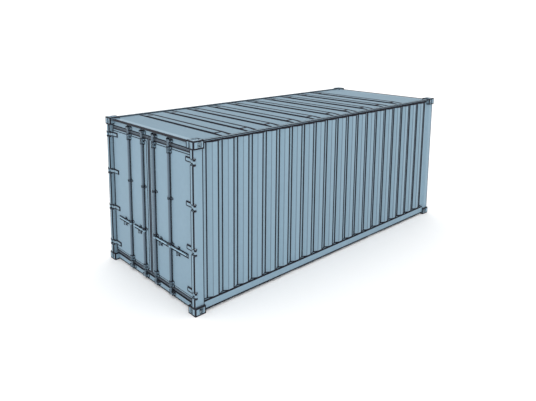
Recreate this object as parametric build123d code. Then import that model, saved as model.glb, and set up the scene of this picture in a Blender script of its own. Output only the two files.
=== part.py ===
from build123d import *
import math
import os

# A 20 foot freight container, 8 foot wide and 8 foot high, in millimetres.
# X runs across the width, Y along the length with the doors at -Y, and Z is up.
# The origin is on the ground at the centre of the footprint.

# Overall size over the corner castings
LENGTH = 6058.0
WIDTH = 2438.0
HEIGHT = 2438.0

# Corner castings
CAST_LENGTH = 178.0
CAST_WIDTH = 162.0
CAST_HEIGHT = 118.0
CAST_SLOT_PLATE = 28.5
CAST_BACK_PLATE = 15.0
CAST_WALL = 14.0
CAST_EDGE_RADIUS = 8.0
SLOT_LENGTH = 124.0
SLOT_WIDTH = 63.5
SLOT_END_SETBACK = 102.5
SLOT_SIDE_SETBACK = 89.5
SIDE_HOLE_WIDTH = 63.5
END_HOLE_WIDTH = 51.0
WALL_HOLE_HEIGHT = 79.5
WALL_HOLE_LEVEL = 62.0
WALL_HOLE_RADIUS = 20.0

# Frame members, set in from the faces of the castings
SIDE_INSET = 28.0
POST_FACE_DEPTH = 8.0
DOOR_POST_WIDTH = 66.0
CLOSED_POST_WIDTH = 66.0
CLOSED_POST_FLAT_DEPTH = 118.0
POST_WALL = 6.0
POST_EDGE_CUT = 3.0

RAIL_LOW = 32.0
RAIL_HIGH = 165.0
RAIL_WEB_SETBACK = 5.0
RAIL_FLANGE = 48.0
RAIL_THICKNESS = 5.0
RAIL_LIP_HEIGHT = 13.0
LIFT_PLATE_LENGTH = 390.0
LIFT_PLATE_SPACING = 2290.0
TOP_RAIL_WIDTH = 60.0
TOP_RAIL_HEIGHT = 28.0
TOP_RAIL_CLEAR = 12.0
TOP_RAIL_WALL = 4.0

SILL_LOW = 20.0
SILL_HIGH = 112.0
SILL_WALL = 6.0
SILL_REAR_DEPTH = 198.0
HEADER_HEIGHT = 101.0
HEADER_REAR_DEPTH = 174.0
HEADER_WALL = 5.0
ROOF_DROP = 32.0
HOOD_THICKNESS = 6.0
HOOD_FRONT_DEPTH = 10.0
CLOSED_SILL_DEPTH = 60.0
CLOSED_HEADER_HEIGHT = 80.0
CLOSED_HEADER_DEPTH = 60.0

# Corrugated sheets
SHEET = 2.0
WALL_PITCH = 278.0
WALL_OUTER_FLAT = 108.0
WALL_INNER_FLAT = 34.0
WALL_WAVE_DEPTH = 36.0
WALL_SETBACK = 2.0
END_WALL_PITCH = 250.0
END_WALL_FLAT = 110.0
END_WALL_INNER_FLAT = 104.0
END_WALL_WAVE_DEPTH = 45.0
END_WALL_DEPTH = 16.0
ROOF_BAND_COUNT = 10
ROOF_BAND_WIDTH = 196.0
ROOF_BAND_HEIGHT = 14.0
ROOF_PLAIN_DOOR_END = 582.0
ROOF_PLAIN_CLOSED_END = 924.0
ROOF_BAND_SIDE_MARGIN = 21.0
ROOF_BAND_SIDE_SLOPE = 210.0

# Floor and the members under it
FLOOR_THICKNESS = 28.0
CROSS_LOW = 17.0
CROSS_HEIGHT = 122.0
CROSS_FLANGE = 45.0
CROSS_THICKNESS = 4.0
CROSS_COUNT = 19
FLOOR_ROWS = 5
BOARD_GAP = 2.0

# Door leaves
SILL_FACE_DEPTH = 76.0
PANEL_FACE_DEPTH = 72.0
PANEL_THICKNESS = 4.0
LEAF_FRAME_DEPTH = 50.0
LEAF_FRAME_WIDTH = 90.0
LEAF_FRAME_WALL = 4.0
PANEL_BORDER_CENTRE = 44.0
PANEL_BORDER_HINGE = 12.0
PANEL_BORDER_ENDS = 35.0
GASKET_SIDE = 12.0
GASKET_END = 36.0
GASKET_SETBACK = 8.0
GASKET_DEPTH = 32.0
GASKET_LIP = 8.0
DOOR_GAP = 5.0
LEAF_SILL_GAP = 12.0
LEAF_HEADER_GAP = 6.0
STOP_GAP = 5.0

# Hinges
PIN_INSET = 19.0
PIN_DEPTH = 26.0
PIN_RADIUS = 8.0
PIN_CLEARANCE = 0.3
PIN_STAND = 5.0
KNUCKLE_RADIUS = 18.0
BLADE_HEIGHT = 66.0
BLADE_THICKNESS = 12.0
BLADE_TAB_LENGTH = 130.0
BLADE_CRANK_LENGTH = 34.0
BLADE_FOLD_SHIFT = 4.0
BLADE_TIP_CUT = 8.0
EAR_THICKNESS = 14.0
EAR_GAP = 2.0
EAR_CORNER_CUT = 9.0
NOTCH_DEPTH = 50.0
HINGE_COUNT = 4
HINGE_SILL_SETBACK = 181.0
HINGE_HEADER_SETBACK = 146.0

# Locking bars
BAR_RADIUS = 17.0
BAR_DEPTH = 46.0
BAR_CENTRES = (155.0, 560.0)
BEARING_CLEARANCE = 0.7
BEARING_THICKNESS = 6.0
BEARING_FLANGE = 30.0
BEARING_HEIGHT = 98.0
BEARING_MARGIN = 3.0
GUIDE_FLANGE = 44.0
GUIDE_HEIGHT = 30.0
GUIDE_HANDLE_RISE = 39.0
GUIDE_HEADER_DROP = 797.0
CAM_REACH = 48.0
CAM_THICKNESS = 22.0
CAM_HEIGHT = 34.0
CAM_NOSE_CUT = 9.0
CAM_HUB_CUT = 10.0
CAM_SEAT = 0.2
KEEPER_LOW_LEVEL = 73.0
KEEPER_HEADER_RISE = 35.0
KEEPER_HEIGHT = 70.0
KEEPER_PLATE = 5.0
KEEPER_JAW = 8.0
KEEPER_JAW_FRONT = 38.0
KEEPER_GAP = 5.0
KEEPER_BAR_GAP = 7.0
KEEPER_WING_BACK = 82.0
KEEPER_WING_FRONT = 86.0
KEEPER_PLATE_CUT = 20.0
KEEPER_JAW_CUT = 12.0

# Handles and their catches
HANDLE_LEVEL = 791.0
HANDLE_REACHES = (325.0, 410.0)
HANDLE_HEIGHT = 26.0
HANDLE_THICKNESS = 12.0
HANDLE_HUB_RADIUS = 23.2
HANDLE_HUB_SIDES = 8
HANDLE_HUB_HEIGHT = 36.0
HANDLE_SEAT = 0.2
CATCH_OFFSETS = (140.0, 190.0)
CATCH_WIDTH = 34.0
CATCH_THICKNESS = 5.0
CATCH_RISE = 44.0
CATCH_DROP = 78.0
CATCH_FRONT_DEPTH = 31.0
CATCH_GAP = 5.0

# How far a cutting shape runs past the face that it cuts
OVERRUN = 1.0

HALF_LENGTH = LENGTH / 2
HALF_WIDTH = WIDTH / 2
FRAME_X = HALF_WIDTH - SIDE_INSET
POST_INNER_X = FRAME_X - DOOR_POST_WIDTH
WALL_CREST_X = FRAME_X - WALL_SETBACK
POST_HIGH = HEIGHT - CAST_HEIGHT
ROOF_TOP = HEIGHT - ROOF_DROP
HEADER_HIGH = ROOF_TOP - HOOD_THICKNESS
HEADER_LOW = HEADER_HIGH - HEADER_HEIGHT
TOP_RAIL_HIGH = HEIGHT - TOP_RAIL_CLEAR
TOP_RAIL_LOW = TOP_RAIL_HIGH - TOP_RAIL_HEIGHT
RAIL_WEB_X = FRAME_X - RAIL_WEB_SETBACK
RAIL_INNER_X = RAIL_WEB_X - RAIL_FLANGE
CROSS_HIGH = CROSS_LOW + CROSS_HEIGHT
FLOOR_TOP = CROSS_HIGH + FLOOR_THICKNESS
LEAF_BACK_DEPTH = PANEL_FACE_DEPTH + PANEL_THICKNESS + LEAF_FRAME_DEPTH
STOP_DEPTH = LEAF_BACK_DEPTH + STOP_GAP
PIN_X = HALF_WIDTH - PIN_INSET
GASKET_HINGE_X = POST_INNER_X - DOOR_GAP
GASKET_LOW = SILL_HIGH + LEAF_SILL_GAP
GASKET_HIGH = HEADER_LOW - LEAF_HEADER_GAP
LEAF_HINGE_X = GASKET_HINGE_X - GASKET_SIDE
LEAF_CENTRE_X = DOOR_GAP + GASKET_SIDE
LEAF_LOW = GASKET_LOW + GASKET_END
LEAF_HIGH = GASKET_HIGH - GASKET_END
PANEL_LOW = LEAF_LOW + PANEL_BORDER_ENDS
PANEL_HIGH = LEAF_HIGH - PANEL_BORDER_ENDS
HINGE_LOW_LEVEL = SILL_HIGH + HINGE_SILL_SETBACK
HINGE_STEP = (HEADER_LOW - HINGE_HEADER_SETBACK - HINGE_LOW_LEVEL) / (HINGE_COUNT - 1)
HINGE_LEVELS = [HINGE_LOW_LEVEL + index * HINGE_STEP for index in range(HINGE_COUNT)]
KEEPER_HIGH_LEVEL = HEADER_LOW + KEEPER_HEADER_RISE
GUIDE_LEVELS = (HANDLE_LEVEL + GUIDE_HANDLE_RISE, HEADER_LOW - GUIDE_HEADER_DROP)


def door_y(depth):
    """Y of a plane that lies this far behind the castings' faces at the door end."""
    return -HALF_LENGTH + depth


def closed_y(depth):
    """Y of a plane that lies this far behind the castings' faces at the closed end."""
    return HALF_LENGTH - depth


def block(x_range, y_range, z_range):
    """A box between three pairs of limits, given in any order."""
    low = [min(pair) for pair in (x_range, y_range, z_range)]
    size = [abs(pair[1] - pair[0]) for pair in (x_range, y_range, z_range)]
    return Pos(*low) * Box(*size, align=(Align.MIN, Align.MIN, Align.MIN))


def outline(points):
    """A flat face inside a closed outline of points in space."""
    return Face(Wire.make_polygon([Vector(*point) for point in points], close=True))


def cut_corners(first, second, cut):
    """Points of a rectangle between two pairs of limits, with its four corners cut off."""
    a, b = sorted(first)
    c, d = sorted(second)
    return [
        (a + cut, c), (b - cut, c), (b, c + cut), (b, d - cut),
        (b - cut, d), (a + cut, d), (a, d - cut), (a, c + cut),
    ]


def upright(points, low, high):
    """Extrudes an outline given in X and Y from one level up to another."""
    face = outline([(x, y, low) for x, y in points])
    return extrude(face, amount=high - low, dir=(0, 0, 1))


def lengthwise(points, start, end):
    """Extrudes an outline given in X and Z along Y."""
    face = outline([(x, start, z) for x, z in points])
    return extrude(face, amount=end - start, dir=(0, 1, 0))


def crosswise(points, start, end):
    """Extrudes an outline given in Y and Z along X."""
    face = outline([(start, y, z) for y, z in points])
    return extrude(face, amount=end - start, dir=(1, 0, 0))


def other_side(shape):
    """The mirror image on the other side of the container."""
    return group([solid.mirror(Plane.YZ) for solid in shape.solids()])


def other_end(shape):
    """The mirror image at the other end of the container."""
    return group([solid.mirror(Plane.XZ) for solid in shape.solids()])


def group(shapes):
    """Like pieces kept together as separate solids of one node."""
    return Compound([solid for shape in shapes for solid in shape.solids()])


def tube(x_range, y_range, z_range, wall, axis):
    """A rectangular tube, open at both ends of its axis."""
    ranges = [x_range, y_range, z_range]
    inner = [(r[0] + wall, r[1] - wall) if i != axis else r for i, r in enumerate(ranges)]
    return block(*ranges) - block(*inner)


def bottom_casting():
    """The casting under the door end's right corner: a hollow block with three openings."""
    x_range = (HALF_WIDTH - CAST_WIDTH, HALF_WIDTH)
    y_range = (door_y(0), door_y(CAST_LENGTH))
    body = block(x_range, y_range, (0, CAST_HEIGHT))
    outer_edges = body.edges().filter_by(Axis.Z).sort_by(Axis.X)[-2:]
    body = fillet(outer_edges.sort_by(Axis.Y)[0], CAST_EDGE_RADIUS)
    cavity = block(
        (x_range[0] + CAST_WALL, x_range[1] - CAST_WALL),
        (y_range[0] + CAST_WALL, y_range[1] - CAST_WALL),
        (CAST_SLOT_PLATE, CAST_HEIGHT - CAST_BACK_PLATE),
    )
    slot_x = HALF_WIDTH - SLOT_SIDE_SETBACK
    slot_y = door_y(SLOT_END_SETBACK)
    slot = Rot(0, 0, 90) * SlotOverall(SLOT_LENGTH, SLOT_WIDTH)
    slot = extrude(Pos(slot_x, slot_y, 0) * slot, amount=CAST_SLOT_PLATE, dir=(0, 0, 1))
    side = RectangleRounded(SIDE_HOLE_WIDTH, WALL_HOLE_HEIGHT, WALL_HOLE_RADIUS)
    side_plane = Plane((HALF_WIDTH, slot_y, WALL_HOLE_LEVEL), x_dir=(0, 1, 0), z_dir=(1, 0, 0))
    side = extrude(side_plane * side, amount=CAST_WALL, dir=(-1, 0, 0))
    end = RectangleRounded(END_HOLE_WIDTH, WALL_HOLE_HEIGHT, WALL_HOLE_RADIUS)
    end_plane = Plane((slot_x, door_y(0), WALL_HOLE_LEVEL), x_dir=(1, 0, 0), z_dir=(0, -1, 0))
    end = extrude(end_plane * end, amount=CAST_WALL, dir=(0, 1, 0))
    return body - cavity - slot - side - end


def casting_pair(top, closed_end):
    """Both castings of one end, at the top or at the bottom."""
    casting = bottom_casting()
    if top:
        casting = Pos(0, 0, HEIGHT) * casting.mirror(Plane.XY)
    if closed_end:
        casting = other_end(casting)
    return group([casting, other_side(casting)])


def casting_spaces(y_range):
    """The blocks of space that the castings fill, which end members are cut round."""
    spaces = []
    for side in (-1, 1):
        x_range = (side * (HALF_WIDTH - CAST_WIDTH), side * HALF_WIDTH)
        spaces.append(block(x_range, y_range, (0, CAST_HEIGHT)))
        spaces.append(block(x_range, y_range, (HEIGHT - CAST_HEIGHT, HEIGHT)))
    return spaces


def door_post():
    """The right corner post at the doors, cut back where each hinge swings."""
    x_range = (POST_INNER_X, FRAME_X)
    y_range = (door_y(POST_FACE_DEPTH), door_y(CAST_LENGTH))
    inner_x = (x_range[0] + POST_WALL, x_range[1] - POST_WALL)
    inner_y = (y_range[0] + POST_WALL, y_range[1] - POST_WALL)
    post = upright(cut_corners(x_range, y_range, POST_EDGE_CUT), CAST_HEIGHT, POST_HIGH)
    post -= block(inner_x, inner_y, (CAST_HEIGHT, POST_HIGH))
    cut_x = (x_range[0] - OVERRUN, x_range[1] + OVERRUN)
    for level in HINGE_LEVELS:
        notch_z = notch_limits(level)
        post -= block(cut_x, (door_y(0), door_y(NOTCH_DEPTH)), notch_z)
        post += block(inner_x, (door_y(NOTCH_DEPTH), door_y(NOTCH_DEPTH + POST_WALL)), notch_z)
    return post


def notch_limits(level):
    """The lowest and highest level of the cut that holds one hinge."""
    half = BLADE_HEIGHT / 2 + EAR_GAP + EAR_THICKNESS
    return (level - half, level + half)


def closed_post():
    """The right corner post at the closed end, folded in to meet the side wall."""
    inner_x = FRAME_X - CLOSED_POST_WIDTH
    trough_x = WALL_CREST_X - WALL_WAVE_DEPTH
    points = [
        (inner_x, closed_y(POST_FACE_DEPTH)), (FRAME_X, closed_y(POST_FACE_DEPTH)),
        (FRAME_X, closed_y(CLOSED_POST_FLAT_DEPTH)), (trough_x, closed_y(CAST_LENGTH)),
        (inner_x, closed_y(CAST_LENGTH)),
    ]
    face = outline([(x, y, CAST_HEIGHT) for x, y in points])
    hollow = offset(face, amount=-POST_WALL, kind=Kind.INTERSECTION)
    return extrude(face - hollow, amount=POST_HIGH - CAST_HEIGHT, dir=(0, 0, 1))


def bottom_rail():
    """The right bottom side rail: a channel with a lip along its foot and two lift plates."""
    web = RAIL_WEB_X
    inner = RAIL_INNER_X
    t = RAIL_THICKNESS
    points = [
        (inner, RAIL_LOW), (FRAME_X, RAIL_LOW), (FRAME_X, RAIL_LOW + RAIL_LIP_HEIGHT),
        (web, RAIL_LOW + RAIL_LIP_HEIGHT), (web, RAIL_HIGH), (inner, RAIL_HIGH),
        (inner, RAIL_HIGH - t), (web - t, RAIL_HIGH - t), (web - t, RAIL_LOW + t),
        (inner, RAIL_LOW + t),
    ]
    rail = lengthwise(points, door_y(CAST_LENGTH), closed_y(CAST_LENGTH))
    for centre in (-LIFT_PLATE_SPACING / 2, LIFT_PLATE_SPACING / 2):
        y_range = (centre - LIFT_PLATE_LENGTH / 2, centre + LIFT_PLATE_LENGTH / 2)
        rail -= block((web, FRAME_X + OVERRUN), y_range, (RAIL_LOW, RAIL_LOW + RAIL_LIP_HEIGHT))
    return rail


def top_rail():
    """The right top side rail, a tube between the top castings."""
    x_range = (FRAME_X - TOP_RAIL_WIDTH, FRAME_X)
    y_range = (door_y(CAST_LENGTH), closed_y(CAST_LENGTH))
    return tube(x_range, y_range, (TOP_RAIL_LOW, TOP_RAIL_HIGH), TOP_RAIL_WALL, 1)


def door_sill():
    """The sill under the doors, stepped up to the floor behind the leaves."""
    points = [
        (door_y(SILL_FACE_DEPTH), SILL_LOW), (door_y(SILL_FACE_DEPTH), SILL_HIGH),
        (door_y(STOP_DEPTH), SILL_HIGH), (door_y(STOP_DEPTH), FLOOR_TOP),
        (door_y(SILL_REAR_DEPTH), FLOOR_TOP), (door_y(SILL_REAR_DEPTH), SILL_LOW),
    ]
    face = outline([(-POST_INNER_X, y, z) for y, z in points])
    hollow = offset(face, amount=-SILL_WALL, kind=Kind.INTERSECTION)
    sill = extrude(face - hollow, amount=2 * POST_INNER_X, dir=(1, 0, 0))
    for space in casting_spaces((door_y(0), door_y(CAST_LENGTH))):
        sill -= space
    return sill


def door_header():
    """The header over the doors, with the plate that runs out over the lock gear."""
    y_range = (door_y(SILL_FACE_DEPTH), door_y(HEADER_REAR_DEPTH))
    header = tube((-POST_INNER_X, POST_INNER_X), y_range, (HEADER_LOW, HEADER_HIGH), HEADER_WALL, 0)
    for space in casting_spaces((door_y(0), door_y(CAST_LENGTH))):
        header -= space
    return header + end_hood()


def end_hood():
    """The flat plate between the two top castings of one end."""
    half = HALF_WIDTH - CAST_WIDTH
    y_range = (door_y(HOOD_FRONT_DEPTH), door_y(CAST_LENGTH))
    return block((-half, half), y_range, (HEADER_HIGH, ROOF_TOP))


def closed_sill():
    """The sill at the closed end."""
    half = FRAME_X - CLOSED_POST_WIDTH
    y_range = (closed_y(POST_FACE_DEPTH + CLOSED_SILL_DEPTH), closed_y(POST_FACE_DEPTH))
    sill = tube((-half, half), y_range, (SILL_LOW, RAIL_HIGH), SILL_WALL, 0)
    for space in casting_spaces((closed_y(CAST_LENGTH), closed_y(0))):
        sill -= space
    return sill


def closed_header():
    """The header at the closed end, with the plate over it."""
    half = FRAME_X - CLOSED_POST_WIDTH
    y_range = (closed_y(POST_FACE_DEPTH + CLOSED_HEADER_DEPTH), closed_y(POST_FACE_DEPTH))
    low = HEADER_HIGH - CLOSED_HEADER_HEIGHT
    header = tube((-half, half), y_range, (low, HEADER_HIGH), HEADER_WALL, 0)
    for space in casting_spaces((closed_y(CAST_LENGTH), closed_y(0))):
        header -= space
    return header + other_end(end_hood())


def wave_points(start, end, crest, pitch, outer_flat, inner_flat, depth):
    """Points of a folded sheet's outer face, with whole crests centred between its ends."""
    count = int((end - start + inner_flat) // pitch)
    slope = (pitch - outer_flat - inner_flat) / 2
    first = (start + end - count * pitch + inner_flat) / 2
    trough = crest - depth
    points = [(start, trough)]
    for index in range(count):
        edge = first + index * pitch
        points += [
            (edge, trough), (edge + slope, crest),
            (edge + slope + outer_flat, crest), (edge + pitch - inner_flat, trough),
        ]
    points.append((end, trough))
    return points


def side_wall():
    """The right side wall, a steel sheet folded into upright waves."""
    run = wave_points(
        door_y(CAST_LENGTH), closed_y(CAST_LENGTH), WALL_CREST_X,
        WALL_PITCH, WALL_OUTER_FLAT, WALL_INNER_FLAT, WALL_WAVE_DEPTH,
    )
    outer = [(x, y) for y, x in run]
    inner = [(x - SHEET, y) for y, x in reversed(run)]
    return upright(outer + inner, RAIL_HIGH, TOP_RAIL_LOW)


def closed_wall():
    """The wall at the closed end, folded into upright waves between the posts."""
    half = FRAME_X - CLOSED_POST_WIDTH
    crest = closed_y(END_WALL_DEPTH)
    run = wave_points(
        -half, half, crest, END_WALL_PITCH, END_WALL_FLAT, END_WALL_INNER_FLAT, END_WALL_WAVE_DEPTH
    )
    outer = [(x, y) for x, y in run]
    inner = [(x, y - SHEET) for x, y in reversed(run)]
    return upright(outer + inner, RAIL_HIGH, HEADER_HIGH - CLOSED_HEADER_HEIGHT)


def roof_sheet():
    """The roof, a sheet with raised bands pressed across it."""
    half = FRAME_X - TOP_RAIL_WIDTH
    sheet = block(
        (-half, half), (door_y(CAST_LENGTH), closed_y(CAST_LENGTH)), (ROOF_TOP - SHEET, ROOF_TOP)
    )
    band = roof_band(half - ROOF_BAND_SIDE_MARGIN)
    first = door_y(ROOF_PLAIN_DOOR_END + ROOF_BAND_WIDTH / 2)
    last = closed_y(ROOF_PLAIN_CLOSED_END + ROOF_BAND_WIDTH / 2)
    for index in range(ROOF_BAND_COUNT):
        y = first + index * (last - first) / (ROOF_BAND_COUNT - 1)
        sheet += Pos(0, y, ROOF_TOP) * band
        sheet -= Pos(0, y, ROOF_TOP - SHEET) * band
    return sheet


def roof_band(foot):
    """One raised band about the origin, steep along its edges and long in its end slopes."""
    flat = foot - ROOF_BAND_SIDE_SLOPE
    half = ROOF_BAND_WIDTH / 2
    top = half - ROOF_BAND_HEIGHT
    across = [(-foot, 0), (foot, 0), (flat, ROOF_BAND_HEIGHT), (-flat, ROOF_BAND_HEIGHT)]
    along = [(-half, 0), (half, 0), (top, ROOF_BAND_HEIGHT), (-top, ROOF_BAND_HEIGHT)]
    return lengthwise(across, -half, half) & crosswise(along, -foot, foot)


def floor_boards():
    """The plywood floor, in two columns of sheets."""
    start = door_y(SILL_REAR_DEPTH) + BOARD_GAP
    end = closed_y(POST_FACE_DEPTH + CLOSED_SILL_DEPTH) - BOARD_GAP
    board = (end - start - (FLOOR_ROWS - 1) * BOARD_GAP) / FLOOR_ROWS
    half = POST_INNER_X - BOARD_GAP
    boards = []
    for row in range(FLOOR_ROWS):
        low = start + row * (board + BOARD_GAP)
        right = block((BOARD_GAP / 2, half), (low, low + board), (CROSS_HIGH, FLOOR_TOP))
        boards += [right, other_side(right)]
    return group(boards)


def crossmembers():
    """The channels under the floor, from rail to rail."""
    t = CROSS_THICKNESS
    first = door_y(SILL_REAR_DEPTH + CROSS_FLANGE)
    last = closed_y(CAST_LENGTH + CROSS_FLANGE)
    pitch = (last - first) / (CROSS_COUNT - 1)
    members = []
    for index in range(CROSS_COUNT):
        y = first + index * pitch
        points = [
            (y, CROSS_LOW), (y + CROSS_FLANGE, CROSS_LOW), (y + CROSS_FLANGE, CROSS_LOW + t),
            (y + t, CROSS_LOW + t), (y + t, CROSS_HIGH - t), (y + CROSS_FLANGE, CROSS_HIGH - t),
            (y + CROSS_FLANGE, CROSS_HIGH), (y, CROSS_HIGH),
        ]
        members.append(crosswise(points, -RAIL_INNER_X, RAIL_INNER_X))
    return group(members)


def leaf_frame():
    """The right leaf's frame, a channel folded round its edge and open to the middle."""
    front = PANEL_FACE_DEPTH + PANEL_THICKNESS
    wall = LEAF_FRAME_WALL
    y_range = (door_y(front), door_y(LEAF_BACK_DEPTH))
    frame = block((LEAF_CENTRE_X, LEAF_HINGE_X), y_range, (LEAF_LOW, LEAF_HIGH))
    window = block(
        (LEAF_CENTRE_X + LEAF_FRAME_WIDTH, LEAF_HINGE_X - LEAF_FRAME_WIDTH), y_range,
        (LEAF_LOW + LEAF_FRAME_WIDTH, LEAF_HIGH - LEAF_FRAME_WIDTH),
    )
    hollow = block(
        (LEAF_CENTRE_X + wall, LEAF_HINGE_X - wall),
        (door_y(front + wall), door_y(LEAF_BACK_DEPTH - wall)),
        (LEAF_LOW + wall, LEAF_HIGH - wall),
    )
    return frame - window - hollow


def leaf_panel():
    """The right leaf's outer plate."""
    x_range = (LEAF_CENTRE_X + PANEL_BORDER_CENTRE, LEAF_HINGE_X - PANEL_BORDER_HINGE)
    y_range = (door_y(PANEL_FACE_DEPTH), door_y(PANEL_FACE_DEPTH + PANEL_THICKNESS))
    return block(x_range, y_range, (PANEL_LOW, PANEL_HIGH))


def leaf_gasket():
    """The double-lipped rubber seal round the right leaf's edge."""
    front = PANEL_FACE_DEPTH + PANEL_THICKNESS + GASKET_SETBACK
    y_range = (door_y(front), door_y(front + GASKET_DEPTH))
    ring = block((DOOR_GAP, GASKET_HINGE_X), y_range, (GASKET_LOW, GASKET_HIGH))
    ring -= block((LEAF_CENTRE_X, LEAF_HINGE_X), y_range, (LEAF_LOW, LEAF_HIGH))
    groove_y = (door_y(front + GASKET_LIP), door_y(front + GASKET_DEPTH - GASKET_LIP))
    groove = block((DOOR_GAP, GASKET_HINGE_X), groove_y, (GASKET_LOW, GASKET_HIGH))
    groove -= block(
        (LEAF_CENTRE_X - GASKET_SIDE / 2, LEAF_HINGE_X + GASKET_SIDE / 2), groove_y,
        (LEAF_LOW - GASKET_END / 2, LEAF_HIGH + GASKET_END / 2),
    )
    return ring - groove


def hinge_blade(level):
    """One hinge blade of the right leaf: knuckle, cranked strap and tab on the leaf."""
    low = level - BLADE_HEIGHT / 2
    high = level + BLADE_HEIGHT / 2
    back = PIN_DEPTH + KNUCKLE_RADIUS
    crank_start = POST_INNER_X - DOOR_GAP - BLADE_THICKNESS / 2
    crank_end = crank_start - BLADE_CRANK_LENGTH
    tip = crank_end - BLADE_TAB_LENGTH
    panel = PANEL_FACE_DEPTH
    t = BLADE_THICKNESS
    shift = BLADE_FOLD_SHIFT
    points = [
        (PIN_X, back), (crank_start, back), (crank_end, panel), (tip, panel),
        (tip, panel - t), (crank_end + shift, panel - t), (crank_start + shift, back - t),
        (PIN_X, back - t),
    ]
    strap = upright([(x, door_y(depth)) for x, depth in points], low, high)
    strap = chamfer(strap.edges().filter_by(Axis.Y).sort_by(Axis.X)[:2], BLADE_TIP_CUT)
    pin_axis = Pos(PIN_X, door_y(PIN_DEPTH), level)
    knuckle = pin_axis * Cylinder(KNUCKLE_RADIUS, BLADE_HEIGHT)
    bore = pin_axis * Cylinder(PIN_RADIUS + PIN_CLEARANCE, BLADE_HEIGHT + OVERRUN)
    return strap + knuckle - bore


def hinge_ears(level):
    """The two ears on the right post that carry one hinge pin."""
    ears = []
    x_range = (POST_INNER_X, PIN_X + KNUCKLE_RADIUS)
    y_range = (door_y(PIN_DEPTH - KNUCKLE_RADIUS), door_y(NOTCH_DEPTH))
    for side in (-1, 1):
        middle = level + side * (BLADE_HEIGHT / 2 + EAR_GAP + EAR_THICKNESS / 2)
        low = middle - EAR_THICKNESS / 2
        ear = upright(cut_corners(x_range, y_range, EAR_CORNER_CUT), low, low + EAR_THICKNESS)
        pin_axis = Pos(PIN_X, door_y(PIN_DEPTH), middle)
        ear -= pin_axis * Cylinder(PIN_RADIUS + PIN_CLEARANCE, EAR_THICKNESS + OVERRUN)
        ears.append(ear)
    return ears


def hinge_pin(level):
    """One pin of the right leaf's hinges, a little longer than its ears."""
    low, high = notch_limits(level)
    return Pos(PIN_X, door_y(PIN_DEPTH), level) * Cylinder(PIN_RADIUS, high - low + 2 * PIN_STAND)


def lock_bar(centre):
    """One locking bar of the right leaf, with a cam fitting on each end."""
    low = KEEPER_LOW_LEVEL + CAM_HEIGHT / 2 + CAM_SEAT
    high = KEEPER_HIGH_LEVEL - CAM_HEIGHT / 2 - CAM_SEAT
    bar = Pos(centre, door_y(BAR_DEPTH), (low + high) / 2) * Cylinder(BAR_RADIUS, high - low)
    return group([bar, cam(centre, KEEPER_LOW_LEVEL), cam(centre, KEEPER_HIGH_LEVEL)])


def cam(centre, level):
    """The fitting that closes one end of a bar, with the nose that locks in a keeper."""
    z_range = (level - CAM_HEIGHT / 2, level + CAM_HEIGHT / 2)
    hub_x = (centre - BAR_RADIUS, centre + BAR_RADIUS)
    hub_y = (door_y(BAR_DEPTH - BAR_RADIUS), door_y(BAR_DEPTH + BAR_RADIUS))
    hub = upright(cut_corners(hub_x, hub_y, CAM_HUB_CUT), *z_range)
    nose = cut_corners((centre, centre + CAM_REACH), z_range, CAM_NOSE_CUT)
    front = door_y(BAR_DEPTH - CAM_THICKNESS / 2)
    return hub + lengthwise(nose, front, front + CAM_THICKNESS)


def lock_handle(centre, reach):
    """One handle, with the hub that clamps it to its bar."""
    axis = Pos(centre, door_y(BAR_DEPTH), HANDLE_LEVEL)
    hub = RegularPolygon(HANDLE_HUB_RADIUS, HANDLE_HUB_SIDES, rotation=180 / HANDLE_HUB_SIDES)
    hub = axis * extrude(hub, amount=HANDLE_HUB_HEIGHT / 2, both=True)
    arm = Plane.XZ.offset(-door_y(BAR_DEPTH) - HANDLE_THICKNESS / 2) * (
        Pos(centre + reach / 2, HANDLE_LEVEL) * SlotOverall(reach, HANDLE_HEIGHT)
    )
    arm = extrude(arm, amount=HANDLE_THICKNESS)
    bore = axis * Cylinder(BAR_RADIUS + HANDLE_SEAT, HANDLE_HUB_HEIGHT + OVERRUN)
    return hub + arm - bore


def crown(reach):
    """Front half of an octagon about a bar's axis, as offsets across and depths."""
    corner = reach * (math.sqrt(2) - 1)
    return [
        (-reach, BAR_DEPTH - corner), (-corner, BAR_DEPTH - reach),
        (corner, BAR_DEPTH - reach), (reach, BAR_DEPTH - corner),
    ]


def saddle(centre, low, high, flange):
    """A plate folded over a locking bar, with a flange on each side against the leaf."""
    inner = BAR_RADIUS + BEARING_CLEARANCE
    outer = inner + BEARING_THICKNESS
    foot = outer + flange
    back = PANEL_FACE_DEPTH
    lip = back - BEARING_THICKNESS
    outside = [(-foot, back), (-foot, lip), (-outer, lip)] + crown(outer)
    outside += [(outer, lip), (foot, lip), (foot, back)]
    inside = [(inner, back)] + list(reversed(crown(inner))) + [(-inner, back)]
    return upright([(centre + x, door_y(depth)) for x, depth in outside + inside], low, high)


def end_bearing(centre, low, high, pad_low, pad_high):
    """A long saddle near a bar's end, packed out where it runs past the leaf's plate."""
    bearing = saddle(centre, low, high, BEARING_FLANGE)
    inner = BAR_RADIUS + BEARING_CLEARANCE
    foot = inner + BEARING_THICKNESS + BEARING_FLANGE
    y_range = (door_y(PANEL_FACE_DEPTH), door_y(PANEL_FACE_DEPTH + PANEL_THICKNESS))
    for side in (-1, 1):
        x_range = (centre + side * inner, centre + side * foot)
        bearing += block(x_range, y_range, (pad_low, pad_high))
    return bearing


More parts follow.
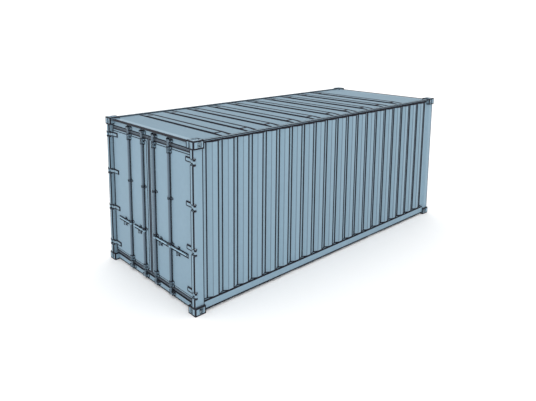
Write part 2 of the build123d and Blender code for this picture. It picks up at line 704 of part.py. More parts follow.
def handle_catch(centre):
    """The open cradle on the leaf that a handle lies in."""
    x_range = (centre - CATCH_WIDTH / 2, centre + CATCH_WIDTH / 2)
    gap = HANDLE_HEIGHT / 2 + CATCH_GAP
    t = CATCH_THICKNESS
    back = PANEL_FACE_DEPTH
    front = CATCH_FRONT_DEPTH
    points = [
        (back, -CATCH_DROP), (back, CATCH_RISE), (back - t, CATCH_RISE), (back - t, gap + t),
        (front + t, gap + t), (front + t, CATCH_RISE), (front, CATCH_RISE), (front, gap),
        (back - t, gap), (back - t, -gap), (front, -gap), (front, -CATCH_DROP),
        (front + t, -CATCH_DROP), (front + t, -gap - t), (back - t, -gap - t),
        (back - t, -CATCH_DROP),
    ]
    return crosswise([(door_y(depth), HANDLE_LEVEL + rise) for depth, rise in points], *x_range)


def keeper(centre, level):
    """One keeper on the sill or header: a plate with jaws above and below the cam."""
    front = SILL_FACE_DEPTH - KEEPER_PLATE
    z_range = (level - KEEPER_HEIGHT / 2, level + KEEPER_HEIGHT / 2)
    wings = (centre - KEEPER_WING_BACK, centre + KEEPER_WING_FRONT)
    plate = lengthwise(
        cut_corners(wings, z_range, KEEPER_PLATE_CUT), door_y(front), door_y(SILL_FACE_DEPTH)
    )
    jaw_y = (door_y(KEEPER_JAW_FRONT), door_y(front))
    inner = BAR_RADIUS + KEEPER_BAR_GAP
    pocket_x = (centre + inner, centre + CAM_REACH + KEEPER_GAP)
    gap = CAM_HEIGHT / 2 + KEEPER_GAP
    outer_x = (pocket_x[0], pocket_x[1] + KEEPER_JAW)
    outer_z = (level - gap - KEEPER_JAW, level + gap + KEEPER_JAW)
    jaws = lengthwise(cut_corners(outer_x, outer_z, KEEPER_JAW_CUT), *jaw_y)
    jaws -= block(pocket_x, jaw_y, (level - gap, level + gap))
    guard = block((centre - inner - KEEPER_JAW, centre - inner), jaw_y, z_range)
    return plate + jaws + guard


def bar_fittings(centre):
    """The two end bearings and the two guides that hold one bar."""
    low = LEAF_LOW + BEARING_MARGIN
    high = LEAF_HIGH - BEARING_MARGIN
    fittings = [
        end_bearing(centre, low, low + BEARING_HEIGHT, low, PANEL_LOW),
        end_bearing(centre, high - BEARING_HEIGHT, high, PANEL_HIGH, high),
    ]
    for level in GUIDE_LEVELS:
        guide_z = (level - GUIDE_HEIGHT / 2, level + GUIDE_HEIGHT / 2)
        fittings.append(saddle(centre, *guide_z, GUIDE_FLANGE))
    return fittings


def leaf_fittings():
    """Everything fixed to the right leaf that carries its bars and handles."""
    fittings = []
    for centre, offset_x in zip(BAR_CENTRES, CATCH_OFFSETS):
        fittings += bar_fittings(centre)
        fittings.append(handle_catch(centre + offset_x))
    return group(fittings)


def both_sides(make, name):
    """Adds a right piece and its mirror image to the parts."""
    right = make()
    parts[name + "_right"] = right
    parts[name + "_left"] = other_side(right)


parts = {}
for end, closed in (("door_end", False), ("closed_end", True)):
    parts["bottom_castings_" + end] = casting_pair(False, closed)
    parts["top_castings_" + end] = casting_pair(True, closed)

both_sides(door_post, "door_post")
both_sides(closed_post, "closed_post")
both_sides(bottom_rail, "bottom_rail")
both_sides(top_rail, "top_rail")
parts["door_sill"] = door_sill()
parts["door_header"] = door_header()
parts["closed_end_sill"] = closed_sill()
parts["closed_end_header"] = closed_header()
both_sides(side_wall, "side_wall")
parts["closed_end_wall"] = closed_wall()
parts["roof_sheet"] = roof_sheet()
parts["floor_boards"] = floor_boards()
parts["crossmembers"] = crossmembers()

both_sides(leaf_frame, "door_frame")
both_sides(leaf_panel, "door_panel")
both_sides(leaf_gasket, "door_gasket")
both_sides(lambda: group([hinge_blade(level) for level in HINGE_LEVELS]), "hinge_blades")
both_sides(leaf_fittings, "door_fittings")

ears = [ear for level in HINGE_LEVELS for ear in hinge_ears(level)]
pins = [hinge_pin(level) for level in HINGE_LEVELS]
parts["hinge_ears"] = group(ears + [other_side(ear) for ear in ears])
parts["hinge_pins"] = group(pins + [other_side(pin) for pin in pins])

keepers = [keeper(c, level) for c in BAR_CENTRES for level in (KEEPER_LOW_LEVEL, KEEPER_HIGH_LEVEL)]
parts["lock_keepers"] = group(keepers + [other_side(piece) for piece in keepers])

for place, centre, reach in zip(("inner", "outer"), BAR_CENTRES, HANDLE_REACHES):
    bar = lock_bar(centre)
    handle = lock_handle(centre, reach)
    parts["lock_bar_right_" + place] = bar
    parts["lock_bar_left_" + place] = other_side(bar)
    parts["lock_handle_right_" + place] = handle
    parts["lock_handle_left_" + place] = other_side(handle)

os.makedirs("parts", exist_ok=True)
for name, shape in parts.items():
    export_step(shape, "parts/" + name + ".step")
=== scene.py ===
import math

import bpy
from mathutils import Matrix, Vector


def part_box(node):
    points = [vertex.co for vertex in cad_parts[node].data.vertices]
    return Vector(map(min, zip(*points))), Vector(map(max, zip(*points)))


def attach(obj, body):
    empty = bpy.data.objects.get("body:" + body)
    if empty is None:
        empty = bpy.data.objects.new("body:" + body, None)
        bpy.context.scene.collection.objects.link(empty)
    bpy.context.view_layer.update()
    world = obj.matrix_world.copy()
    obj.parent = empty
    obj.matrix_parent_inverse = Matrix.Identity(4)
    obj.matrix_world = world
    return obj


bl_info = {
    "name": "Freight Container Dressing",
    "version": (1, 0, 0),
    "blender": (4, 5, 0),
    "location": "3D View > Sidebar > Container",
    "description": "Finishes and small hardware for a 20 foot freight container",
    "category": "Object",
}

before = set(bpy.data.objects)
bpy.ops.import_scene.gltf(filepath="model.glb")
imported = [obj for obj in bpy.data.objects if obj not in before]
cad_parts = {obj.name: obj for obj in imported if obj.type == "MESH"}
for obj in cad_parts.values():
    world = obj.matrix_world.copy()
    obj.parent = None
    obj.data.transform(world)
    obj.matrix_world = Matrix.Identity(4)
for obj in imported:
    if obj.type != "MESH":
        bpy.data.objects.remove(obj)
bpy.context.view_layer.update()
MM = 0.001

# Places that the source of the solids gives, in millimetres
HALF_LENGTH = 3029.0
MIDDLE_LEVEL = 1219.0
FRAME_X = 1191.0
POST_INNER_X = 1125.0
POST_SETBACK = 7.0
POST_HIGH = 2320.0
CAST_LENGTH = 178.0
CAST_HEIGHT = 118.0
FLOOR_TOP = 167.0
PANEL_DEPTH = 72.0
KEEPER_DEPTH = 71.0
KEEPER_LEVELS = (73.0, 2334.0)
BAR_CENTRES = (155.0, 560.0)
BEARING_FACE = 66.0
BEARING_SPANS = ((163.0, 261.0), (2156.0, 2254.0))
GUIDE_LEVELS = (830.0, 1502.0)
HANDLE_FACE = 40.0
HANDLE_LEVEL = 791.0
HANDLE_REACHES = (325.0, 410.0)
CATCH_OFFSETS = (140.0, 190.0)
CATCH_FACE = 67.0
HINGE_LEVELS = (293.0, 913.0, 1533.0, 2153.0)
HINGE_PITCH = HINGE_LEVELS[1] - HINGE_LEVELS[0]
BLADE_HALF = 33.0
TAB_SPAN = (950.0, 1080.0)
EAR_OUTER = 49.0
PIN_X = 1200.0
PIN_DEPTH = 26.0
WALL_PITCH = 278.0
WALL_FIRST_FOLD = -2763.0
BAND_PITCH = 484.0
BAND_FIRST = -2349.0
BAND_COUNT = 10
BAND_FLAT_X = 900.0
BAND_FOOT_X = 1110.0
CROSS_COUNT = 19
CROSS_FIRST = -2786.0
CROSS_LAST = 2806.0
CROSS_FLANGE = 45.0

# Faces of the frame, in millimetres: their middle, on both sides of the container's own
# middle, and half their span
POST_X, POST_Y = (1158.0, 33.0), (2936.0, 85.0)
END_MEMBER_Y = (2953.0, 0.0)
SILL_Z = (1153.0, 46.0)
HEADER_Z = (1130.5, 50.5)
HOOD_Y, HOOD_Z = (3019.0, 0.0), (1184.0, 3.0)
BOTTOM_RAIL_X, BOTTOM_RAIL_Z = (1188.5, 2.5), (1120.5, 66.5)
TOP_RAIL_X, TOP_RAIL_Z = (1161.0, 30.0), (1193.0, 14.0)
CAST_X, CAST_Y, CAST_Z = (1138.0, 81.0), (2940.0, 89.0), (1160.0, 59.0)
CAVITY_HALVES = (70.0, 78.0, 47.0)

# Grime stripes in millimetres, the one under the walls' top rail also painted shade: the middle,
# half the width and, on the walls, how dark it is
WALL_FOLD_STRIPES = ((-12.0, 11.5, 1.0), (-107.0, 13.5, 1.0), (68.0, 6.0, 0.45))
WALL_RAIL_SHADE_AND_GRIME_STRIPES = ((2398.0, 22.0, 1.0), (165.0, 13.0, 1.0))
BAND_EDGE_STRIPES = ((-93.0, 20.0), (66.0, 34.0))
BAND_END_STRIPES = ((BAND_FLAT_X, 24.0), (BAND_FOOT_X, 14.0))

# Half the other stripes' widths in millimetres, after half the length of the bands' end stripes
BAND_END_REACH = 100.0
BLADE_STRIPE = 15.0
TAB_STRIPE = 18.0
DOOR_HOOD_STRIPE = 50.0
CLOSED_HOOD_STRIPE = 90.0
HOOD_LINE = 8.0

# How many times wider the stripes are at the closed end than at the doors, and half the
# length in millimetres over which they widen
WALL_WIDENING = 1.75
BAND_WIDENING = 1.5
WIDENING_HALF = 2800.0

# Painted shadow with rubbed dirt round the handles and catches, set below them, in millimetres:
# how deep it runs, the half widths, then the middle above the handle (below it here) with half
# the height, the width of the dark rims along X and Z, and how much paler it is inside them
SHADOW_RUB_DEPTH = PANEL_DEPTH + 1.0
HANDLE_SHADOW_RUB_SPARE = 10.0
CATCH_SHADOW_RUB_HALF = 28.0
HANDLE_SHADOW_RUB_Z = (-20.0, 36.0)
CATCH_SHADOW_RUB_Z = (-24.0, 72.0)
SHADOW_RUB_RIMS = (14.0, 18.0)
SHADOW_RUB_CORE = 0.6

# Factors: the roof's paint against the walls' paint, darkened as painted shade against the extra
# light the roof gets, and the strips' grimy colour against the edges'
ROOF_PAINTED_SHADE = 0.87
STRIP_GRIME = 1.6

# Places of the small hardware on what it holds, in millimetres
KEEPER_BOLT_OFFSETS = (-60.0, 73.5)
BEARING_BOLT_INSET = 22.0
BEARING_BOLT_REACHES = (-39.0, 39.0)
GUIDE_RIVET_REACHES = (-50.0, 50.0)
CATCH_RIVET_RISES = (33.0, -35.0, -62.0)
HANDLE_RIVET_REACHES = (38.0, 60.0)
PIN_HEAD_WIDTH = 23.0
PIN_HEAD_HEIGHT = 9.0
BEAD_PROUD = 1.0
TAB_BEAD_END = 6.0
SEAL_LIP_INSETS = (("outer", 1.0, 1.0), ("inner", 7.0, 20.0))
SEAL_LIP_DEPTHS = (79.0, 84.0)
SEAL_STRIP_INSET = 1.0
SEAL_STRIP_DEPTHS = (73.0, 76.0)
SEAL_STRIP_WIDTH = 13.0
SCREW_COLUMNS = 5
SCREW_FIRST_X = 60.0
SCREW_PITCH_X = 245.0

# The stage in metres, and the camera that was fitted to the photograph's corners
FLOOR_SIZE = 240.0
FLOOR_LEVEL = -0.0005
KEY_PLACE = (8.5, -8.5, 5.0)
KEY_SIZE = 7.0
KEY_AIM = (0, 0, 1.2)
CAMERA_PLACE = (6.456, -6.806, 3.918)
CAMERA_TURN = 49.094
CAMERA_RISE = 8.931
IMAGE_WIDTH = 536.0
FOCAL_PIXELS = 514.5
SHIFT_PIXELS = (30.0, -95.0)
SENSOR_WIDTH = 36.0
CLIP_END = 500.0

SIDES = (("right", 1), ("left", -1))


def linear(code):
    """Turns an sRGB hex colour into the linear colour that the shader works in."""
    values = [int(code[i:i + 2], 16) / 255 for i in (1, 3, 5)]
    return tuple(v / 12.92 if v <= 0.04045 else ((v + 0.055) / 1.055) ** 2.4 for v in values)


def per(size):
    """Scale of a pattern on Object coordinates whose features are this many millimetres."""
    return 1000.0 / size


def depth_y(depth):
    """Y in millimetres of a plane this far behind the castings' faces at the door end."""
    return depth - HALF_LENGTH


class ContainerFinish(bpy.types.PropertyGroup):
    """Colours and line widths of the container's finish."""

    paint: bpy.props.FloatVectorProperty(
        name="Paint", description="Colour of the sprayed paint", subtype="COLOR",
        size=3, min=0, max=1, default=linear("#7e97a7"),
    )
    handle_paint: bpy.props.FloatVectorProperty(
        name="Handle paint", description="Paler paint of the handles, which hands keep clean",
        subtype="COLOR", size=3, min=0, max=1, default=linear("#8fadbf"),
    )
    bar_paint: bpy.props.FloatVectorProperty(
        name="Bar paint", description="Colour of the locking bars", subtype="COLOR",
        size=3, min=0, max=1, default=linear("#5d6d7a"),
    )
    # The edge colour also paints the shade in creases and joints and the shadows round the handles
    edge: bpy.props.FloatVectorProperty(
        name="Edges", description="Colour of grimed edges and open joints", subtype="COLOR",
        size=3, min=0, max=1, default=linear("#1b1c24"),
    )
    # Paler colour inside the corner castings' cavities, painted light that lifts the shade in them
    cavity_painted_light: bpy.props.FloatVectorProperty(
        name="Cavity painted light", description="Paler paint left inside the corner castings", subtype="COLOR",
        size=3, min=0, max=1, default=linear("#bbcdd7"),
    )
    line_width: bpy.props.FloatProperty(
        name="Edge grime", description="How far the grime runs in from a frame member's edge",
        subtype="DISTANCE", unit="LENGTH", default=0.016, min=0.001, max=0.05,
    )
    rubber: bpy.props.FloatVectorProperty(
        name="Seal rubber", description="Colour of the door seals", subtype="COLOR",
        size=3, min=0, max=1, default=linear("#56636f"),
    )
    underseal: bpy.props.FloatVectorProperty(
        name="Underseal", description="Colour of the coating under the floor", subtype="COLOR",
        size=3, min=0, max=1, default=linear("#33363a"),
    )


class ContainerStage(bpy.types.PropertyGroup):
    """Floor and light round the container."""

    floor: bpy.props.FloatVectorProperty(
        name="Floor", description="Colour of the plain floor", subtype="COLOR",
        size=3, min=0, max=1, default=linear("#fdfdfd"),
    )
    sky: bpy.props.FloatProperty(
        name="Sky", description="Strength of the even light from all round", default=1.3, min=0,
    )
    key_power: bpy.props.FloatProperty(
        name="Key light", description="Power of the large soft light",
        subtype="POWER", unit="POWER", default=101.0, min=0,
    )


class ContainerHardware(bpy.types.PropertyGroup):
    """Sizes of the small fasteners, welds and seals."""

    bolt_across: bpy.props.FloatProperty(
        name="Bolt head", description="Width across the flats of a bolt head",
        subtype="DISTANCE", unit="LENGTH", default=0.014, min=0.005, max=0.05,
    )
    rivet_width: bpy.props.FloatProperty(
        name="Rivet head", description="Width of a round rivet head",
        subtype="DISTANCE", unit="LENGTH", default=0.014, min=0.004, max=0.05,
    )
    bead_width: bpy.props.FloatProperty(
        name="Weld bead", description="Width of a weld bead",
        subtype="DISTANCE", unit="LENGTH", default=0.008, min=0.003, max=0.02,
    )
    screw_width: bpy.props.FloatProperty(
        name="Floor screw", description="Width of a floor screw's head",
        subtype="DISTANCE", unit="LENGTH", default=0.016, min=0.005, max=0.03,
    )
    lip_width: bpy.props.FloatProperty(
        name="Seal lip", description="Width of a lip of the door seals",
        subtype="DISTANCE", unit="LENGTH", default=0.005, min=0.002, max=0.01,
    )


def add(tree, kind, inputs=None, **settings):
    """Adds one node with its settings, and sets or links its inputs."""
    node = tree.nodes.new(kind)
    for name, value in settings.items():
        setattr(node, name, value)
    for name, value in (inputs or {}).items():
        if isinstance(value, bpy.types.NodeSocket):
            tree.links.new(value, node.inputs[name])
        else:
            node.inputs[name].default_value = value
    return node


def rgba(colour):
    """A colour with full cover, as sockets need it."""
    return (*colour[:3], 1.0)


def new_material(name):
    """An empty material with an output, its shader and the object's own coordinates."""
    material = bpy.data.materials.new(name)
    material.use_nodes = True
    tree = material.node_tree
    tree.nodes.clear()
    shader = add(tree, "ShaderNodeBsdfPrincipled")
    output = add(tree, "ShaderNodeOutputMaterial")
    tree.links.new(shader.outputs["BSDF"], output.inputs["Surface"])
    place = add(tree, "ShaderNodeTexCoord").outputs["Object"]
    return material, tree, shader, place


def edge_mask(tree, width):
    """How near a surface point is to an edge of its own piece, 0 to 1."""
    true_normal = add(tree, "ShaderNodeNewGeometry").outputs["Normal"]
    rounded = add(tree, "ShaderNodeBevel", {"Radius": width}, samples=16)
    same = add(
        tree, "ShaderNodeVectorMath",
        {0: rounded.outputs["Normal"], 1: true_normal}, operation="DOT_PRODUCT",
    )
    return add(
        tree, "ShaderNodeMapRange",
        {"Value": same.outputs["Value"], "From Min": 0.998, "From Max": 0.982},
    ).outputs["Result"]


def painted_crease_shade(tree, reach, clear):
    """Painted shade: how deep a surface point lies in a joint or crease, 0 to 1, from ambient
    occlusion.
    """
    shade = add(tree, "ShaderNodeAmbientOcclusion", {"Distance": reach}, samples=8)
    return add(
        tree, "ShaderNodeMapRange",
        {"Value": shade.outputs["AO"], "From Min": clear, "From Max": clear - 0.18},
    ).outputs["Result"]


def mottle(tree, place, colour, amount, sizes):
    """A colour with soft uneven patches of the given sizes in millimetres."""
    result = colour
    for size in sizes:
        noise = add(
            tree, "ShaderNodeTexNoise", {"Vector": place, "Scale": per(size), "Detail": 3.0},
        )
        level = add(
            tree, "ShaderNodeMapRange",
            {"Value": noise.outputs["Fac"], "From Min": 0.3, "From Max": 0.7,
             "To Min": 1 - amount, "To Max": 1 + amount},
        )
        result = add(
            tree, "ShaderNodeMix",
            {"Factor": 1.0, "A": result, "B": level.outputs["Result"]},
            data_type="RGBA", blend_type="MULTIPLY",
        ).outputs["Result"]
    return result


def sprayed_steel(name, colour, edge, width=0.0, reach=0.022, clear=0.62, roughness=0.5,
                  colours=None, marks=(), grain=4.0, relief=0.12):
    """Alkyd paint sprayed on weathering steel: even satin colour with a fine orange peel,
    soft patches where it has chalked, dark dirt held along its edges, and painted shade in its
    joints and creases."""
    material, tree, shader, place = new_material(name)
    base = colours(tree, place) if colours else rgba(colour)
    base = mottle(tree, place, base, 0.018, (900.0, 60.0))
    # Painted shade in creases and joints, then dark edges and the marks, all mixed toward the edge
    # colour
    masks = [painted_crease_shade(tree, reach, clear)]
    if width:
        masks.append(edge_mask(tree, width))
    for mark in marks:
        masks += mark(tree, place)
    grime_and_shade = masks[0]
    for mask in masks[1:]:
        grime_and_shade = add(tree, "ShaderNodeMath", {0: grime_and_shade, 1: mask}, operation="MAXIMUM").outputs[0]
    painted = add(
        tree, "ShaderNodeMix", {"Factor": grime_and_shade, "A": base, "B": rgba(edge)}, data_type="RGBA",
    )
    shader.inputs["Metallic"].default_value = 0.0
    shader.inputs["IOR"].default_value = 1.5
    shader.inputs["Specular IOR Level"].default_value = 0.25
    tree.links.new(painted.outputs["Result"], shader.inputs["Base Color"])
    patch = add(tree, "ShaderNodeTexNoise", {"Vector": place, "Scale": per(240.0), "Detail": 2.0})
    rough = add(
        tree, "ShaderNodeMapRange",
        {"Value": patch.outputs["Fac"], "To Min": roughness - 0.06, "To Max": roughness + 0.08},
    )
    dull = add(tree, "ShaderNodeMath", {0: grime_and_shade, 1: 0.95}, operation="MULTIPLY").outputs[0]
    dulled = add(
        tree, "ShaderNodeMath", {0: rough.outputs["Result"], 1: dull}, operation="MAXIMUM",
    )
    tree.links.new(dulled.outputs[0], shader.inputs["Roughness"])
    # Real orange peel has waves of 1 to 3 mm. They are drawn a little coarser, so they show
    peel = add(tree, "ShaderNodeTexNoise", {"Vector": place, "Scale": per(grain), "Detail": 1.0})
    bump = add(
        tree, "ShaderNodeBump",
        {"Height": peel.outputs["Fac"], "Strength": relief, "Distance": 0.0004},
    )
    tree.links.new(bump.outputs["Normal"], shader.inputs["Normal"])
    return material


def folded(tree, value, *middles):
    """How far a coordinate lies from each of these places in turn, so that one measure
    serves the planes on both sides."""
    for middle in middles:
        shifted = add(tree, "ShaderNodeMath", {0: value, 1: middle * MM}, operation="SUBTRACT")
        value = add(
            tree, "ShaderNodeMath", {0: shifted.outputs[0]}, operation="ABSOLUTE",
        ).outputs[0]
    return value


def in_repeat(tree, value, first, pitch):
    """Place along a pattern that repeats, measured from the middle of the nearest repeat."""
    for operation, amount in (
        ("SUBTRACT", first - pitch / 2), ("FLOORED_MODULO", pitch), ("SUBTRACT", pitch / 2),
    ):
        value = add(
            tree, "ShaderNodeMath", {0: value, 1: amount * MM}, operation=operation,
        ).outputs[0]
    return value


def stripes(tree, measure, spread, rows):
    """Masks of stripes across a measure. Each row gives a stripe's middle and half its width
    in millimetres, and how dark it is or the mask that bounds it."""
    masks = []
    for middle, half, strength in rows:
        reach = add(
            tree, "ShaderNodeMath", {0: spread, 1: half * MM}, operation="MULTIPLY",
        ).outputs[0]
        stripe = add(
            tree, "ShaderNodeMath", {0: measure, 1: middle * MM, 2: reach}, operation="COMPARE",
        ).outputs[0]
        masks.append(
            add(tree, "ShaderNodeMath", {0: stripe, 1: strength}, operation="MULTIPLY").outputs[0]
        )
    return masks


def wall_marks(tree, place):
    """Grime along the folds of a side wall and along its rails, with painted shade in the stripe
    under its top rail, all broader to the closed end.
    """
    axes = add(tree, "ShaderNodeSeparateXYZ", {"Vector": place})
    spread = add(
        tree, "ShaderNodeMapRange",
        {"Value": axes.outputs["Y"], "From Min": -WIDENING_HALF * MM,
         "From Max": WIDENING_HALF * MM, "To Min": 1.0, "To Max": WALL_WIDENING},
    ).outputs["Result"]
    fold = in_repeat(tree, axes.outputs["Y"], WALL_FIRST_FOLD, WALL_PITCH)
    return (
        stripes(tree, fold, spread, WALL_FOLD_STRIPES)
        + stripes(tree, axes.outputs["Z"], spread, WALL_RAIL_SHADE_AND_GRIME_STRIPES)
    )


def member_lines(x=None, y=None, z=None):
    """Grime along the edges of square members. Each axis gives the middle and half the span
    of the members' faces, measured from the container's middle to either side, and the
    grime's width along that axis."""

    def marks(tree, place):
        axes = add(tree, "ShaderNodeSeparateXYZ", {"Vector": place})
        total = 0.0
        for axis, centre, planes in (("X", 0.0, x), ("Y", 0.0, y), ("Z", MIDDLE_LEVEL, z)):
            if planes is None:
                continue
            middle, half, width = planes
            near = add(
                tree, "ShaderNodeMath",
                {0: folded(tree, axes.outputs[axis], centre, middle), 1: half * MM, 2: width * MM},
                operation="COMPARE",
            ).outputs[0]
            total = add(tree, "ShaderNodeMath", {0: near, 1: total}, operation="ADD").outputs[0]
        # An edge is where the faces of two axes meet
        return [
            add(tree, "ShaderNodeMath", {0: total, 1: 1.5}, operation="GREATER_THAN").outputs[0]
        ]

    return marks


def casting_colours(paint, inside):
    """The castings' paint, with a paler colour inside their cavities: painted light that lifts
    their shade.
    """

    def colours(tree, place):
        axes = add(tree, "ShaderNodeSeparateXYZ", {"Vector": place})
        total = 0.0
        for axis, centre, faces, half in zip(
            "XYZ", (0.0, 0.0, MIDDLE_LEVEL), (CAST_X, CAST_Y, CAST_Z), CAVITY_HALVES,
        ):
            within = add(
                tree, "ShaderNodeMath",
                {0: folded(tree, axes.outputs[axis], centre, faces[0]), 1: half * MM},
                operation="LESS_THAN",
            ).outputs[0]
            total = add(tree, "ShaderNodeMath", {0: within, 1: total}, operation="ADD").outputs[0]
        # The cavity is where all three axes are within it
        deep = add(tree, "ShaderNodeMath", {0: total, 1: 2.5}, operation="GREATER_THAN").outputs[0]
        return add(
            tree, "ShaderNodeMix", {"Factor": deep, "A": rgba(paint), "B": rgba(inside)},
            data_type="RGBA",
        ).outputs["Result"]

    return colours


def blade_marks(tree, place):
    """Grime along the top, the foot and the tab end of each hinge blade."""
    axes = add(tree, "ShaderNodeSeparateXYZ", {"Vector": place})
    off = folded(tree, in_repeat(tree, axes.outputs["Z"], HINGE_LEVELS[0], HINGE_PITCH), 0.0)
    across = folded(tree, axes.outputs["X"], 0.0)
    return (
        stripes(tree, off, 1.0, ((BLADE_HALF, BLADE_STRIPE, 1.0),))
        + stripes(tree, across, 1.0, ((TAB_SPAN[0], TAB_STRIPE, 1.0),))
    )


def band_marks(tree, place):
    """Grime along the steep edges, the folds and the ends of the roof's pressed bands."""
    axes = add(tree, "ShaderNodeSeparateXYZ", {"Vector": place})
    off = in_repeat(tree, axes.outputs["Y"], BAND_FIRST, BAND_PITCH)
    across = folded(tree, axes.outputs["X"], 0.0)
    spread = add(
        tree, "ShaderNodeMapRange",
        {"Value": axes.outputs["Y"], "From Min": -WIDENING_HALF * MM,
         "From Max": WIDENING_HALF * MM, "To Min": 1.0, "To Max": BAND_WIDENING},
    ).outputs["Result"]
    middle = BAND_FIRST + (BAND_COUNT - 1) * BAND_PITCH / 2
    banded = add(
        tree, "ShaderNodeMath",
        {0: axes.outputs["Y"], 1: middle * MM, 2: BAND_COUNT * BAND_PITCH / 2 * MM},
        operation="COMPARE",
    ).outputs[0]
    near_band = add(
        tree, "ShaderNodeMath", {0: off, 1: 0.0, 2: BAND_END_REACH * MM}, operation="COMPARE",
    ).outputs[0]
    on_band = add(
        tree, "ShaderNodeMath", {0: near_band, 1: banded}, operation="MULTIPLY",
    ).outputs[0]
    return (
        stripes(tree, off, spread, [(*stripe, banded) for stripe in BAND_EDGE_STRIPES])
        + stripes(tree, across, spread, [(*stripe, on_band) for stripe in BAND_END_STRIPES])
    )


def handle_shadows_and_rubs(tree, place):
    """Painted shadow with rubbed dirt on the leaf round each handle and catch, set below it and
    heaviest at its rim.
    """
    axes = add(tree, "ShaderNodeSeparateXYZ", {"Vector": place})
    across = folded(tree, axes.outputs["X"], 0.0)
    outside = add(
        tree, "ShaderNodeMath", {0: axes.outputs["Y"], 1: depth_y(SHADOW_RUB_DEPTH) * MM},
        operation="LESS_THAN",
    ).outputs[0]
    # Each shape: its middle and half width along X, its middle and half height from the handle
    shapes = []
    for centre, reach, offset in zip(BAR_CENTRES, HANDLE_REACHES, CATCH_OFFSETS):
        shapes.append((centre + reach / 2, reach / 2 + HANDLE_SHADOW_RUB_SPARE, *HANDLE_SHADOW_RUB_Z))
        shapes.append((centre + offset, CATCH_SHADOW_RUB_HALF, *CATCH_SHADOW_RUB_Z))
    marks = []
    for middle, half_width, rise, half_height in shapes:
        cover = outside
        core = SHADOW_RUB_CORE
        for measure, centre, half, rim in (
            (across, middle, half_width, SHADOW_RUB_RIMS[0]),
            (axes.outputs["Z"], HANDLE_LEVEL + rise, half_height, SHADOW_RUB_RIMS[1]),
        ):
            within, inside = (
                add(
                    tree, "ShaderNodeMath", {0: measure, 1: centre * MM, 2: reach * MM},
                    operation="COMPARE",
                ).outputs[0]
                for reach in (half, half - rim)
            )
            cover = add(
                tree, "ShaderNodeMath", {0: cover, 1: within}, operation="MULTIPLY",
            ).outputs[0]
            core = add(
                tree, "ShaderNodeMath", {0: core, 1: inside}, operation="MULTIPLY",
            ).outputs[0]
        paler = add(tree, "ShaderNodeMath", {0: 1.0, 1: core}, operation="SUBTRACT").outputs[0]
        marks.append(
            add(tree, "ShaderNodeMath", {0: cover, 1: paler}, operation="MULTIPLY").outputs[0]
        )
    return marks


def seal_rubber(colour, edge):
    """Extruded grey EPDM rubber: matt, with a fine grain along its length and painted shade in its
    grooves.
    """
    material, tree, shader, place = new_material("extruded_grey_epdm_rubber")
    base = mottle(tree, place, rgba(colour), 0.06, (30.0, 3.0))
    # Painted shade darkens the grooves
    groove_shade = painted_crease_shade(tree, 0.014, 0.64)
    darkened = add(
        tree, "ShaderNodeMix", {"Factor": groove_shade, "A": base, "B": rgba(edge)}, data_type="RGBA",
    )
    tree.links.new(darkened.outputs["Result"], shader.inputs["Base Color"])
    shader.inputs["Roughness"].default_value = 0.75
    shader.inputs["IOR"].default_value = 1.52
    grain = add(tree, "ShaderNodeTexNoise", {"Vector": place, "Scale": per(1.5), "Detail": 2.0})
    bump = add(
        tree, "ShaderNodeBump",
        {"Height": grain.outputs["Fac"], "Strength": 0.2, "Distance": 0.0005},
    )
    tree.links.new(bump.outputs["Normal"], shader.inputs["Normal"])
    return material


def zinc_steel():
    """Zinc plated turned steel: pale grey metal with a faint cloudy bloom."""
    material, tree, shader, place = new_material("zinc_plated_turned_steel")
    base = mottle(tree, place, rgba(linear("#9aa1a8")), 0.08, (25.0, 4.0))
    tree.links.new(base, shader.inputs["Base Color"])
    shader.inputs["Metallic"].default_value = 1.0
    cloud = add(tree, "ShaderNodeTexNoise", {"Vector": place, "Scale": per(12.0), "Detail": 3.0})
    rough = add(
        tree, "ShaderNodeMapRange",
        {"Value": cloud.outputs["Fac"], "To Min": 0.32, "To Max": 0.55},
    )
    tree.links.new(rough.outputs["Result"], shader.inputs["Roughness"])
    return material


def floor_plywood():
    """Sealed hardwood plywood: brown, with long grain streaks and scuffs from loading."""
    material, tree, shader, place = new_material("sealed_hardwood_plywood")
    stretched = add(tree, "ShaderNodeMapping", {"Vector": place, "Scale": (1.0, 0.06, 1.0)})
    grain = add(
        tree, "ShaderNodeTexNoise",
        {"Vector": stretched.outputs["Vector"], "Scale": per(14.0), "Detail": 6.0,
         "Distortion": 0.4},
    )
    ramp = add(tree, "ShaderNodeValToRGB", {"Fac": grain.outputs["Fac"]})
    ramp.color_ramp.elements[0].position = 0.3
    ramp.color_ramp.elements[0].color = rgba(linear("#6a4a31"))
    ramp.color_ramp.elements[1].position = 0.72
    ramp.color_ramp.elements[1].color = rgba(linear("#9a7450"))
    worn = mottle(tree, place, ramp.outputs["Color"], 0.12, (500.0, 45.0))
    # Painted shade darkens the joints between the boards
    joint = painted_crease_shade(tree, 0.01, 0.62)
    joint_shaded = add(
        tree, "ShaderNodeMix",
        {"Factor": joint, "A": worn, "B": rgba(linear("#2b1d12"))}, data_type="RGBA",
    )
    tree.links.new(joint_shaded.outputs["Result"], shader.inputs["Base Color"])
    shader.inputs["Roughness"].default_value = 0.55
    shader.inputs["IOR"].default_value = 1.5
    bump = add(
        tree, "ShaderNodeBump",
        {"Height": grain.outputs["Fac"], "Strength": 0.25, "Distance": 0.0006},
    )
    tree.links.new(bump.outputs["Normal"], shader.inputs["Normal"])
    return material


